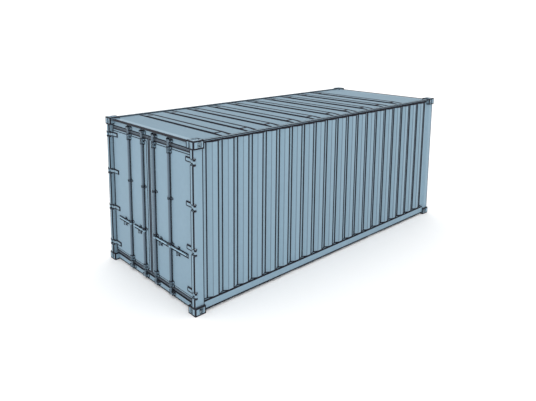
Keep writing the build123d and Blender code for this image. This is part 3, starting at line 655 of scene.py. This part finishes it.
def brushed_underseal(colour):
    """Bitumen underseal brushed on steel: nearly black, dull, with thick and thin strokes."""
    material, tree, shader, place = new_material("brushed_bitumen_underseal")
    strokes = add(tree, "ShaderNodeMapping", {"Vector": place, "Scale": (0.1, 1.0, 1.0)})
    stroke = add(
        tree, "ShaderNodeTexNoise",
        {"Vector": strokes.outputs["Vector"], "Scale": per(9.0), "Detail": 4.0},
    )
    base = mottle(tree, strokes.outputs["Vector"], rgba(colour), 0.2, (40.0, 9.0))
    tree.links.new(base, shader.inputs["Base Color"])
    rough = add(
        tree, "ShaderNodeMapRange",
        {"Value": stroke.outputs["Fac"], "To Min": 0.55, "To Max": 0.85},
    )
    tree.links.new(rough.outputs["Result"], shader.inputs["Roughness"])
    shader.inputs["IOR"].default_value = 1.6
    bump = add(
        tree, "ShaderNodeBump",
        {"Height": stroke.outputs["Fac"], "Strength": 0.5, "Distance": 0.0012},
    )
    tree.links.new(bump.outputs["Normal"], shader.inputs["Normal"])
    return material


def studio_floor(colour):
    """A plain painted studio floor, pale and matt, with the faintest unevenness."""
    material, tree, shader, place = new_material("painted_studio_floor")
    base = mottle(tree, place, rgba(colour), 0.003, (1500.0,))
    tree.links.new(base, shader.inputs["Base Color"])
    shader.inputs["Roughness"].default_value = 0.9
    shader.inputs["Specular IOR Level"].default_value = 0.1
    return material


def dress(material, *starts):
    """Gives one material to the solids whose names start in one of these ways."""
    for name in sorted(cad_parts):
        if name.startswith(starts):
            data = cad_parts[name].data
            data.materials.clear()
            data.materials.append(material)


def clear_selection():
    """Nothing is selected, so an operator acts only on what follows."""
    if bpy.context.object and bpy.context.object.mode != "OBJECT":
        bpy.ops.object.mode_set(mode="OBJECT")
    bpy.ops.object.select_all(action="DESELECT")


def pick(piece, kind, test):
    """In edit mode, selects only the faces or edges of a piece that pass a test."""
    bpy.ops.mesh.select_mode(type=kind)
    bpy.ops.mesh.select_all(action="DESELECT")
    bpy.ops.object.mode_set(mode="OBJECT")
    items = piece.data.polygons if kind == "FACE" else piece.data.edges
    for item in items:
        item.select = test(item)
    bpy.ops.object.mode_set(mode="EDIT")


def started(name):
    """The piece that an add operator has just made, named."""
    piece = bpy.context.object
    piece.name = name
    piece.data.name = name
    return piece


def settle(piece):
    """Puts a piece's place into its mesh, so its object stands at the origin."""
    clear_selection()
    piece.select_set(True)
    bpy.context.view_layer.objects.active = piece
    bpy.ops.object.transform_apply(location=True, rotation=True, scale=True)


def steps_up(piece, steps):
    """Insets a piece's top face in steps, each raised by its own amount."""
    bpy.ops.object.mode_set(mode="EDIT")
    pick(piece, "FACE", lambda face: face.normal.z > 0.9)
    for inset, rise in steps:
        bpy.ops.mesh.inset(thickness=inset)
        bpy.ops.transform.translate(value=(0, 0, rise))
    bpy.ops.object.mode_set(mode="OBJECT")


def hex_bolt(across):
    """A hexagon bolt head on a round washer, standing on the origin along Z."""
    clear_selection()
    height = across * 0.62
    washer = across * 0.12
    bpy.ops.mesh.primitive_cylinder_add(
        vertices=16, radius=across * 0.72, depth=washer, location=(0, 0, washer / 2)
    )
    ring = started("washer")
    steps_up(ring, ((across * 0.05, washer * 0.25),))
    bpy.ops.mesh.primitive_cylinder_add(
        vertices=6, radius=across / math.sqrt(3), depth=height, location=(0, 0, washer + height / 2)
    )
    head = started("bolt_head")
    steps_up(head, ((across * 0.07, across * 0.06), (across * 0.2, across * 0.01)))
    ring.select_set(True)
    head.select_set(True)
    bpy.context.view_layer.objects.active = head
    bpy.ops.object.join()
    settle(head)
    return head


def round_head(name, width, height, sides=12):
    """A domed head of this width and height, standing on the origin along Z."""
    clear_selection()
    foot = height * 0.3
    bpy.ops.mesh.primitive_cylinder_add(
        vertices=sides, radius=width / 2, depth=foot, location=(0, 0, foot / 2)
    )
    head = started(name)
    steps_up(head, (
        (width * 0.1, height * 0.36), (width * 0.14, height * 0.23), (width * 0.14, height * 0.11),
    ))
    settle(head)
    bpy.ops.object.shade_smooth_by_angle(angle=math.radians(40))
    return head


def screw_head(width):
    """A flat countersunk screw head with a sunk drive, standing on the origin along Z."""
    clear_selection()
    foot = width * 0.03
    bpy.ops.mesh.primitive_cylinder_add(
        vertices=10, radius=width / 2, depth=foot, location=(0, 0, foot / 2)
    )
    head = started("floor_screw")
    steps_up(head, (
        (width * 0.04, width * 0.02), (width * 0.28, 0.0), (width * 0.02, -width * 0.03),
    ))
    settle(head)
    return head


def weld_ripple(width):
    """One ripple of a weld bead along X: a ring that swells and narrows again."""
    clear_selection()
    bpy.ops.mesh.primitive_cylinder_add(
        vertices=8, radius=width / 2, depth=width * 0.6, rotation=(0, math.radians(90), 0)
    )
    ripple = started("weld_ripple")
    settle(ripple)
    bpy.ops.object.mode_set(mode="EDIT")
    pick(ripple, "FACE", lambda face: abs(face.normal.x) > 0.9)
    bpy.ops.mesh.inset(thickness=width * 0.12)
    for side in (1, -1):
        pick(ripple, "FACE", lambda face: face.normal.x * side > 0.9 and len(face.vertices) == 8)
        bpy.ops.transform.translate(value=(side * width * 0.1, 0, 0))
    bpy.ops.object.mode_set(mode="OBJECT")
    return ripple


def copy_at(pattern, place):
    """A copy of a pattern piece with its own mesh, moved in its mesh to a place."""
    copy = pattern.copy()
    copy.data = pattern.data.copy()
    copy.data.transform(place)
    bpy.context.scene.collection.objects.link(copy)
    return copy


def bead_along(pattern, width, start, end):
    """A weld bead from one point to another, in millimetres: ripples in a row."""
    start = Vector(start) * MM
    run = Vector(end) * MM - start
    step = width * 0.6
    turn = run.to_track_quat("X", "Z").to_matrix().to_4x4()
    bead = copy_at(pattern, Matrix.Identity(4))
    rows = bead.modifiers.new("ripples", "ARRAY")
    rows.count = max(2, round(run.length / step))
    rows.use_relative_offset = False
    rows.use_constant_offset = True
    rows.constant_offset_displace = (step, 0, 0)
    clear_selection()
    bead.select_set(True)
    bpy.context.view_layer.objects.active = bead
    bpy.ops.object.modifier_apply(modifier="ripples")
    bead.data.transform(Matrix.Translation(start) @ turn)
    return bead


def finish_row(name, copies, body, material):
    """Joins copies into one named piece that rides on a body."""
    clear_selection()
    for copy in copies:
        copy.select_set(True)
    bpy.context.view_layer.objects.active = copies[0]
    if len(copies) > 1:
        bpy.ops.object.join()
    piece = bpy.context.object
    piece.name = name
    piece.data.name = name
    piece.data.materials.clear()
    piece.data.materials.append(bpy.data.materials[material])
    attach(piece, body)
    return piece


def row_of(name, pattern, places, body, material):
    """Copies a pattern piece to each place and joins the copies into one piece on a body."""
    copies = [copy_at(pattern, place) for place in places]
    return finish_row(name, copies, body, material)


def facing_doors(x, depth, z, turn=0.0):
    """Where a fastener stands on a face that looks out of the door end."""
    place = Matrix.Translation(Vector((x, depth_y(depth), z)) * MM)
    return place @ Matrix.Rotation(math.radians(90), 4, "X") @ Matrix.Rotation(turn, 4, "Z")


def discard(piece):
    """Removes a pattern piece once its copies are made."""
    bpy.data.objects.remove(piece, do_unlink=True)


def flat_ring(name, low, high, depths, width):
    """A rectangular ring facing the doors, its sides of one width and its edges rounded."""
    clear_selection()
    y_front, y_back = (depth_y(depth) * MM for depth in depths)
    size = Vector((high[0] - low[0], y_back - y_front, high[1] - low[1]))
    middle = Vector((low[0] + high[0], y_front + y_back, low[1] + high[1])) / 2
    bpy.ops.mesh.primitive_cube_add(size=1.0, location=middle)
    ring = started(name)
    ring.scale = size
    settle(ring)
    bpy.ops.object.mode_set(mode="EDIT")
    pick(ring, "FACE", lambda face: abs(face.normal.y) > 0.9)
    bpy.ops.mesh.inset(thickness=width)
    bpy.ops.mesh.bridge_edge_loops()
    bpy.ops.object.mode_set(mode="OBJECT")
    rounding = ring.modifiers.new("rounding", "BEVEL")
    rounding.width = min(width, abs(size.y)) * 0.25
    rounding.segments = 2
    clear_selection()
    ring.select_set(True)
    bpy.context.view_layer.objects.active = ring
    bpy.ops.object.modifier_apply(modifier="rounding")
    return ring


class CONTAINER_OT_stage(bpy.types.Operator):
    """Lays the plain floor, sets the soft light and places the camera"""

    bl_idname = "container.stage"
    bl_label = "Stage"

    def execute(self, context):
        settings = context.scene.container_stage
        clear_selection()
        bpy.ops.mesh.primitive_plane_add(size=FLOOR_SIZE, location=(0, 0, FLOOR_LEVEL))
        floor = started("studio_floor")
        settle(floor)
        floor.data.materials.append(studio_floor(settings.floor))

        world = bpy.data.worlds.new("studio_light")
        world.use_nodes = True
        tree = world.node_tree
        tree.nodes.clear()
        sky = add(tree, "ShaderNodeBackground", {"Color": (1, 1, 1, 1), "Strength": settings.sky})
        output = add(tree, "ShaderNodeOutputWorld")
        tree.links.new(sky.outputs["Background"], output.inputs["Surface"])
        context.scene.world = world

        bpy.ops.object.light_add(type="AREA", location=KEY_PLACE)
        key = bpy.context.object
        key.name = "key_light"
        key.data.shape = "SQUARE"
        key.data.size = KEY_SIZE
        key.data.energy = settings.key_power
        aim = Vector(KEY_AIM) - key.location
        key.rotation_euler = aim.to_track_quat("-Z", "Y").to_euler()

        turn = math.radians(CAMERA_TURN)
        rise = math.radians(CAMERA_RISE)
        back = Vector((
            math.sin(turn) * math.cos(rise), -math.cos(turn) * math.cos(rise), math.sin(rise)
        ))
        right = Vector((math.cos(turn), math.sin(turn), 0.0))
        up = back.cross(right)
        bpy.ops.object.camera_add()
        camera = bpy.context.object
        camera.name = "photo_camera"
        axes = Matrix((right, up, back)).transposed().to_4x4()
        camera.matrix_world = Matrix.Translation(CAMERA_PLACE) @ axes
        camera.data.sensor_width = SENSOR_WIDTH
        camera.data.sensor_fit = "HORIZONTAL"
        camera.data.lens = FOCAL_PIXELS * SENSOR_WIDTH / IMAGE_WIDTH
        camera.data.shift_x = SHIFT_PIXELS[0] / IMAGE_WIDTH
        camera.data.shift_y = SHIFT_PIXELS[1] / IMAGE_WIDTH
        camera.data.clip_end = CLIP_END
        context.scene.camera = camera
        context.scene.view_settings.view_transform = "Standard"
        return {"FINISHED"}


class CONTAINER_OT_finish(bpy.types.Operator):
    """Gives every solid its paint, rubber, plywood, underseal or plated finish"""

    bl_idname = "container.finish"
    bl_label = "Finish"

    def execute(self, context):
        values = context.scene.container_finish
        paint, edge = values.paint, values.edge
        line = values.line_width / MM
        thin = 0.75 * line
        wide = 1.2 * line
        dress(sprayed_steel("sprayed_frame_steel", paint, edge, width=0.024), "closed_end")
        for name, starts, edges in (
            ("sprayed_post_steel", ("door_post", "closed_post"),
             [member_lines(x=(*POST_X, line), y=(*POST_Y, line))]),
            ("sprayed_sill_steel", ("door_sill",),
             [member_lines(y=(*END_MEMBER_Y, line), z=(*SILL_Z, line))]),
            ("sprayed_header_steel", ("door_header",),
             [member_lines(y=(*END_MEMBER_Y, line), z=(*HEADER_Z, thin)),
              member_lines(y=(*HOOD_Y, DOOR_HOOD_STRIPE), z=(*HOOD_Z, HOOD_LINE))]),
            ("sprayed_bottom_rail_steel", ("bottom_rail",),
             [member_lines(x=(*BOTTOM_RAIL_X, line), z=(*BOTTOM_RAIL_Z, wide))]),
            ("sprayed_end_header_steel", ("closed_end_header",),
             [member_lines(y=(*END_MEMBER_Y, line), z=(*HEADER_Z, thin)),
              member_lines(y=(*HOOD_Y, CLOSED_HOOD_STRIPE), z=(*HOOD_Z, HOOD_LINE))]),
            ("sprayed_top_rail_steel", ("top_rail",),
             [member_lines(x=(*TOP_RAIL_X, line), z=(*TOP_RAIL_Z, thin))]),
        ):
            dress(sprayed_steel(name, paint, edge, marks=edges), *starts)
        dress(
            sprayed_steel(
                "sprayed_cast_steel", paint, edge, width=0.006, reach=0.006, grain=7.0,
                relief=0.5, colours=casting_colours(paint, values.cavity_painted_light),
                marks=[member_lines((*CAST_X, wide), (*CAST_Y, wide), (*CAST_Z, wide))],
            ),
            "top_castings", "bottom_castings",
        )
        # The door plate's painted crease shade reaches further, round the bars, handles and posts,
        # and painted shadows lie under the handles and catches
        dress(
            sprayed_steel(
                "sprayed_door_plate", paint, edge, width=0.020, reach=0.035, clear=0.76,
                marks=[handle_shadows_and_rubs],
            ),
            "door_panel", "door_frame",
        )
        dress(sprayed_steel("sprayed_wall_sheet", paint, edge, marks=[wall_marks]), "side_wall")
        # The roof's paint is darker than the walls' as painted shade against the extra light on it;
        # its roughness is the chalked paint's
        dress(
            sprayed_steel(
                "chalked_roof_paint", tuple(ROOF_PAINTED_SHADE * part for part in paint), edge,
                roughness=0.72, marks=[band_marks],
            ),
            "roof_sheet",
        )
        dress(
            sprayed_steel("sprayed_door_gear", paint, edge, width=0.024),
            "door_fittings", "hinge_ears", "lock_keepers",
        )
        dress(
            sprayed_steel("sprayed_hinge_blades", paint, edge, width=0.014, marks=[blade_marks]),
            "hinge_blades",
        )
        sprayed_steel("sprayed_fasteners", paint, edge, reach=0.006)
        sprayed_steel(
            "grimed_strip_steel", tuple(STRIP_GRIME * part for part in edge), edge, grain=3.0,
        )
        dress(
            sprayed_steel("sprayed_handles", values.handle_paint, edge, width=0.007),
            "lock_handle",
        )
        dress(
            sprayed_steel("sprayed_bar_tube", values.bar_paint, edge, roughness=0.4), "lock_bar",
        )
        dress(seal_rubber(values.rubber, edge), "door_gasket")
        dress(zinc_steel(), "hinge_pins")
        dress(floor_plywood(), "floor_boards")
        dress(brushed_underseal(values.underseal), "crossmembers")
        return {"FINISHED"}


class CONTAINER_OT_keeper_bolts(bpy.types.Operator):
    """Bolts through the wings of the lock keepers on the sill and the header"""

    bl_idname = "container.keeper_bolts"
    bl_label = "Keeper bolts"

    def execute(self, context):
        bolt = hex_bolt(context.scene.container_hardware.bolt_across)
        places = []
        # A head's turn is taken from its place, so that the heads don't all stand alike
        for _, side in SIDES:
            for centre in BAR_CENTRES:
                for level in KEEPER_LEVELS:
                    for offset in KEEPER_BOLT_OFFSETS:
                        x = side * (centre + offset)
                        places.append(facing_doors(x, KEEPER_DEPTH, level, offset))
        row_of("keeper_bolts", bolt, places, "shell", "sprayed_fasteners")
        discard(bolt)
        return {"FINISHED"}


class CONTAINER_OT_gear_fasteners(bpy.types.Operator):
    """Bolts and rivets that hold the bearings, guides, catches and handles"""

    bl_idname = "container.gear_fasteners"
    bl_label = "Gear fasteners"

    def execute(self, context):
        sizes = context.scene.container_hardware
        bolt = hex_bolt(sizes.bolt_across)
        rivet = round_head("rivet", sizes.rivet_width, sizes.rivet_width * 0.36)
        # The bolts' turn is taken from their level, so that they don't all stand alike
        for name, side in SIDES:
            bolts = []
            rivets = []
            for place, centre, offset in zip(("inner", "outer"), BAR_CENTRES, CATCH_OFFSETS):
                for low, high in BEARING_SPANS:
                    for level in (low + BEARING_BOLT_INSET, high - BEARING_BOLT_INSET):
                        for reach in BEARING_BOLT_REACHES:
                            x = side * (centre + reach)
                            bolts.append(facing_doors(x, BEARING_FACE, level, level))
                for level in GUIDE_LEVELS:
                    for reach in GUIDE_RIVET_REACHES:
                        rivets.append(facing_doors(side * (centre + reach), BEARING_FACE, level))
                for rise in CATCH_RIVET_RISES:
                    x = side * (centre + offset)
                    rivets.append(facing_doors(x, CATCH_FACE, HANDLE_LEVEL + rise))
                on_arm = [
                    facing_doors(side * (centre + reach), HANDLE_FACE, HANDLE_LEVEL)
                    for reach in HANDLE_RIVET_REACHES
                ]
                row_of(
                    "handle_rivets_" + name + "_" + place, rivet, on_arm,
                    "bar_" + name + "_" + place, "sprayed_fasteners",
                )
            row_of("bearing_bolts_" + name, bolt, bolts, "door_" + name, "sprayed_fasteners")
            row_of("gear_rivets_" + name, rivet, rivets, "door_" + name, "sprayed_fasteners")
        discard(bolt)
        discard(rivet)
        return {"FINISHED"}


class CONTAINER_OT_pin_heads(bpy.types.Operator):
    """Domed heads that close both ends of each hinge pin"""

    bl_idname = "container.pin_heads"
    bl_label = "Pin heads"

    def execute(self, context):
        head = round_head("pin_head", PIN_HEAD_WIDTH * MM, PIN_HEAD_HEIGHT * MM, sides=16)
        over = Matrix.Rotation(math.radians(180), 4, "X")
        places = []
        for _, side in SIDES:
            for level in HINGE_LEVELS:
                for rise, turn in ((EAR_OUTER, Matrix.Identity(4)), (-EAR_OUTER, over)):
                    spot = Vector((side * PIN_X, depth_y(PIN_DEPTH), level + rise)) * MM
                    places.append(Matrix.Translation(spot) @ turn)
        row_of("hinge_pin_heads", head, places, "shell", "zinc_plated_turned_steel")
        discard(head)
        return {"FINISHED"}


class CONTAINER_OT_weld_beads(bpy.types.Operator):
    """Weld beads round the posts on their castings and along the hinge tabs"""

    bl_idname = "container.weld_beads"
    bl_label = "Weld beads"

    def execute(self, context):
        width = context.scene.container_hardware.bead_width
        ripple = weld_ripple(width)
        on_frame = []
        side_x = FRAME_X + BEAD_PROUD
        for level in (CAST_HEIGHT + BEAD_PROUD, POST_HIGH - BEAD_PROUD):
            for _, side in SIDES:
                for end in (1, -1):
                    face = end * (HALF_LENGTH - POST_SETBACK)
                    corner = (side * side_x, face, level)
                    for far in (
                        (side * side_x, end * (HALF_LENGTH - CAST_LENGTH), level),
                        (side * POST_INNER_X, face, level),
                    ):
                        on_frame.append(bead_along(ripple, width, corner, far))
        finish_row("post_weld_beads", on_frame, "shell", "grimed_strip_steel")
        for name, side in SIDES:
            on_leaf = []
            near, far = (side * x for x in TAB_SPAN)
            y = depth_y(PANEL_DEPTH - BEAD_PROUD)
            for level in HINGE_LEVELS:
                for edge in (BLADE_HALF + BEAD_PROUD, -BLADE_HALF - BEAD_PROUD):
                    start = (near, y, level + edge)
                    end = (far - side * TAB_BEAD_END, y, level + edge)
                    on_leaf.append(bead_along(ripple, width, start, end))
            finish_row("tab_weld_beads_" + name, on_leaf, "door_" + name, "grimed_strip_steel")
        discard(ripple)
        return {"FINISHED"}


class CONTAINER_OT_door_seals(bpy.types.Operator):
    """The two rubber lips of each leaf's seal and the steel strip that clamps them"""

    bl_idname = "container.door_seals"
    bl_label = "Door seals"

    def execute(self, context):
        lip = context.scene.container_hardware.lip_width
        for name, _ in SIDES:
            low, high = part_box("door_gasket_" + name)
            for place, in_x, in_z in SEAL_LIP_INSETS:
                ring = flat_ring(
                    "seal_lip_" + place + "_" + name,
                    (low[0] + in_x * MM, low[2] + in_z * MM),
                    (high[0] - in_x * MM, high[2] - in_z * MM), SEAL_LIP_DEPTHS, lip,
                )
                ring.data.materials.append(bpy.data.materials["extruded_grey_epdm_rubber"])
                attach(ring, "door_" + name)
            low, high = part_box("door_frame_" + name)
            inset = SEAL_STRIP_INSET * MM
            strip = flat_ring(
                "seal_strip_" + name, (low[0] + inset, low[2] + inset),
                (high[0] - inset, high[2] - inset), SEAL_STRIP_DEPTHS, SEAL_STRIP_WIDTH * MM,
            )
            strip.data.materials.append(bpy.data.materials["grimed_strip_steel"])
            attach(strip, "door_" + name)
        return {"FINISHED"}


class CONTAINER_OT_floor_screws(bpy.types.Operator):
    """Screws through the floor boards into each crossmember"""

    bl_idname = "container.floor_screws"
    bl_label = "Floor screws"

    def execute(self, context):
        screw = screw_head(context.scene.container_hardware.screw_width)
        places = []
        for row in range(CROSS_COUNT):
            y = CROSS_FIRST + row * (CROSS_LAST - CROSS_FIRST) / (CROSS_COUNT - 1)
            for column in range(SCREW_COLUMNS):
                for _, side in SIDES:
                    x = side * (SCREW_FIRST_X + column * SCREW_PITCH_X)
                    spot = Vector((x, y + CROSS_FLANGE / 2, FLOOR_TOP)) * MM
                    places.append(Matrix.Translation(spot))
        row_of("floor_screws", screw, places, "shell", "zinc_plated_turned_steel")
        discard(screw)
        return {"FINISHED"}


class CONTAINER_PT_panel(bpy.types.Panel):
    """Lists the container's steps and settings in the sidebar"""

    bl_idname = "CONTAINER_PT_panel"
    bl_label = "Freight Container"
    bl_space_type = "VIEW_3D"
    bl_region_type = "UI"
    bl_category = "Container"

    def draw(self, context):
        for name in ("container_finish", "container_stage", "container_hardware"):
            group = getattr(context.scene, name)
            for setting in group.__annotations__:
                self.layout.prop(group, setting)
        for step in STEPS:
            self.layout.operator(step.bl_idname)


STEPS = (
    CONTAINER_OT_stage,
    CONTAINER_OT_finish,
    CONTAINER_OT_keeper_bolts,
    CONTAINER_OT_gear_fasteners,
    CONTAINER_OT_pin_heads,
    CONTAINER_OT_weld_beads,
    CONTAINER_OT_door_seals,
    CONTAINER_OT_floor_screws,
)
CLASSES = (ContainerFinish, ContainerStage, ContainerHardware) + STEPS + (CONTAINER_PT_panel,)


def register():
    """Adds the classes and the settings that the scene holds."""
    for each in CLASSES:
        bpy.utils.register_class(each)
    bpy.types.Scene.container_finish = bpy.props.PointerProperty(type=ContainerFinish)
    bpy.types.Scene.container_stage = bpy.props.PointerProperty(type=ContainerStage)
    bpy.types.Scene.container_hardware = bpy.props.PointerProperty(type=ContainerHardware)


def unregister():
    """Removes what register added."""
    del bpy.types.Scene.container_hardware
    del bpy.types.Scene.container_stage
    del bpy.types.Scene.container_finish
    for each in reversed(CLASSES):
        bpy.utils.unregister_class(each)


def main():
    """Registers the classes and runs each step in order."""
    register()
    for step in STEPS:
        group, action = step.bl_idname.split(".")
        getattr(getattr(bpy.ops, group), action)()


if __name__ == "__main__":
    main()
